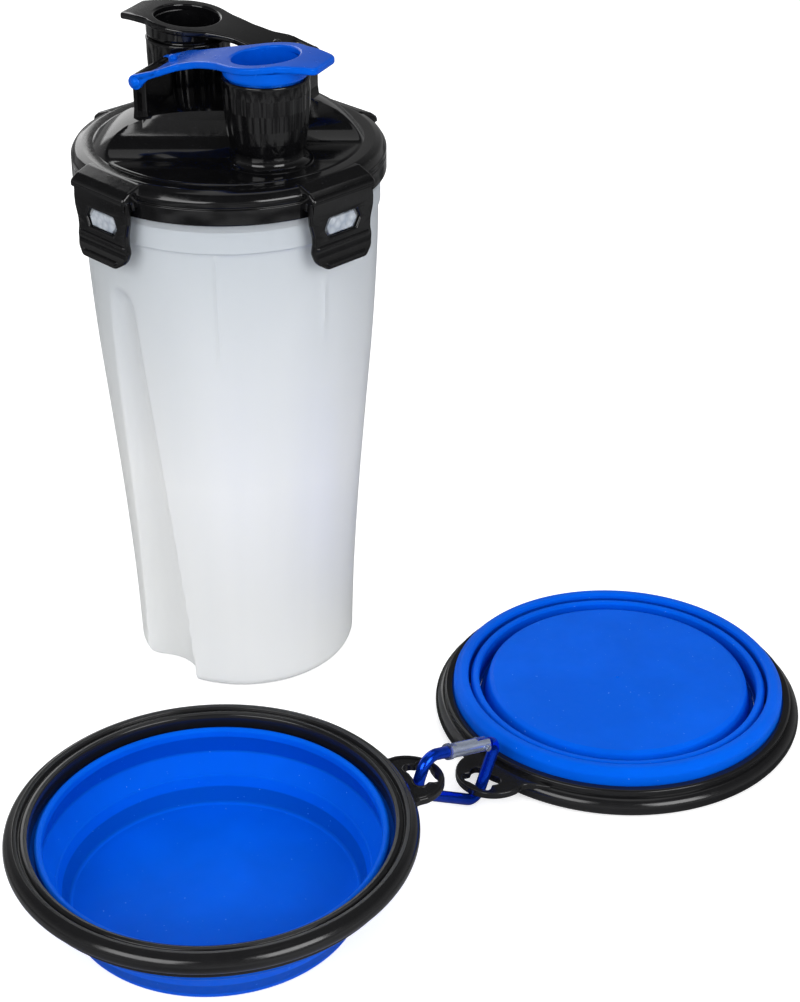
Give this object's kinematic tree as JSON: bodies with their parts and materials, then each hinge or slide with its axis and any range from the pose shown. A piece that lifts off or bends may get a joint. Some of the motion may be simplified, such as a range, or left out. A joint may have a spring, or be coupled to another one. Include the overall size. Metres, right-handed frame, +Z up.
{
  "type": "dog travel water bottle",
  "caption": "Travel bottle with separate water and food chambers, a clip-on lid with flip caps, and collapsible bowls on a carabiner.",
  "frame": {"origin": "centre of the bottle's foot, on the surface it stands on", "axes": "+Z up along the bottle; +X from the divider towards the water chamber; the divider lies in the YZ plane; the bowls lie at +X"},
  "size_m": [0.2552, 0.3004, 0.2342],
  "materials": {
    "frosted_body": "frosted translucent polypropylene",
    "black_gloss": "glossy moulded black",
    "gasket": "soft translucent silicone",
    "blue_cap": "satin moulded blue",
    "blue_anodised": "anodised blue, polished",
    "bare_aluminium": "polished",
    "spring_steel": "drawn wire",
    "blue_silicone": "matt food-grade silicone",
    "black_rim": "satin moulded black"
  },
  "bodies": {
    "bottle": {"bottle_body": "frosted_body", "lid": "black_gloss", "lid_gasket": "gasket"},
    "water_cap": {"water_cap": "blue_cap"},
    "food_cap": {"food_cap": "black_gloss"},
    "latch_right": {"latch_right": "black_gloss"},
    "latch_back": {"latch_back": "black_gloss"},
    "latch_left": {"latch_left": "black_gloss"},
    "latch_front": {"latch_front": "black_gloss"},
    "carabiner": {"carabiner_frame": "blue_anodised", "gate_pin": "bare_aluminium"},
    "gate": {"carabiner_gate": "bare_aluminium", "gate_spring": "spring_steel"},
    "bowl_a": {"bowl_a_rim": "black_rim", "bowl_a_clamp_ring": "black_rim", "bowl_a_collar": "blue_silicone"},
    "bowl_a_middle": {"bowl_a_middle_wall": "blue_silicone"},
    "bowl_a_cup": {"bowl_a_cup": "blue_silicone"},
    "bowl_b": {"bowl_b_rim": "black_rim", "bowl_b_clamp_ring": "black_rim", "bowl_b_collar": "blue_silicone"},
    "bowl_b_middle": {"bowl_b_middle_wall": "blue_silicone"},
    "bowl_b_cup": {"bowl_b_cup": "blue_silicone"}
  },
  "joints": [
    {"name": "water_cap_hinge", "type": "hinge", "parent": "bottle", "child": "water_cap", "pos_m": [-0.01346, -0.02039, 0.222], "axis": [0.3681, -0.9298, 0], "range_deg": [0, 150]},
    {"name": "food_cap_hinge", "type": "hinge", "parent": "bottle", "child": "food_cap", "pos_m": [0.01346, 0.02039, 0.222], "axis": [-0.3681, 0.9298, 0], "range_deg": [0, 150]},
    {"name": "latch_right_hinge", "type": "hinge", "parent": "bottle", "child": "latch_right", "pos_m": [0.0546, 0, 0.1932], "axis": [0, -1, 0], "range_deg": [0, 100]},
    {"name": "latch_back_hinge", "type": "hinge", "parent": "bottle", "child": "latch_back", "pos_m": [0, 0.0546, 0.1932], "axis": [1, 0, 0], "range_deg": [0, 100]},
    {"name": "latch_left_hinge", "type": "hinge", "parent": "bottle", "child": "latch_left", "pos_m": [-0.0546, 0, 0.1932], "axis": [0, 1, 0], "range_deg": [0, 100]},
    {"name": "latch_front_hinge", "type": "hinge", "parent": "bottle", "child": "latch_front", "pos_m": [0, -0.0546, 0.1932], "axis": [-1, 0, 0], "range_deg": [0, 100]},
    {"name": "carabiner_lift", "type": "slide", "parent": "bottle", "child": "carabiner", "axis": [0, 0, 1], "range_m": [0, 0.12]},
    {"name": "gate_hinge", "type": "hinge", "parent": "carabiner", "child": "gate", "pos_m": [0.134, -0.01309, 0.02259], "axis": [1, 0, 0], "range_deg": [0, 24], "stiffness_Nm_per_rad": 0.02, "springref_deg": -20.05},
    {"name": "bowl_a_swing", "type": "hinge", "parent": "carabiner", "child": "bowl_a", "pos_m": [0.1346, -0.04227, 0.025], "axis": [0, 0, 1], "range_deg": [-25, 25]},
    {"name": "bowl_b_swing", "type": "hinge", "parent": "carabiner", "child": "bowl_b", "pos_m": [0.13347, -0.01249, 0.0065], "axis": [0, 0, 1], "range_deg": [-25, 25]},
    {"name": "bowl_a_fold", "type": "slide", "parent": "bowl_a", "child": "bowl_a_cup", "axis": [0, 0, 1], "range_m": [0, 0.0175]},
    {"name": "bowl_a_middle_fold", "type": "slide", "parent": "bowl_a", "child": "bowl_a_middle", "axis": [0, 0, 1], "range_m": [0, 0.00875]},
    {"name": "bowl_b_open", "type": "slide", "parent": "bowl_b", "child": "bowl_b_cup", "axis": [0, 0, 1], "range_m": [0, 0.0175]},
    {"name": "bowl_b_middle_open", "type": "slide", "parent": "bowl_b", "child": "bowl_b_middle", "axis": [0, 0, 1], "range_m": [0, 0.00875]}
  ],
  "couplings": [
    {"joint": "bowl_a_middle_fold", "follows": "bowl_a_fold", "ratio": 0.5},
    {"joint": "bowl_b_middle_open", "follows": "bowl_b_open", "ratio": 0.5}
  ]
}
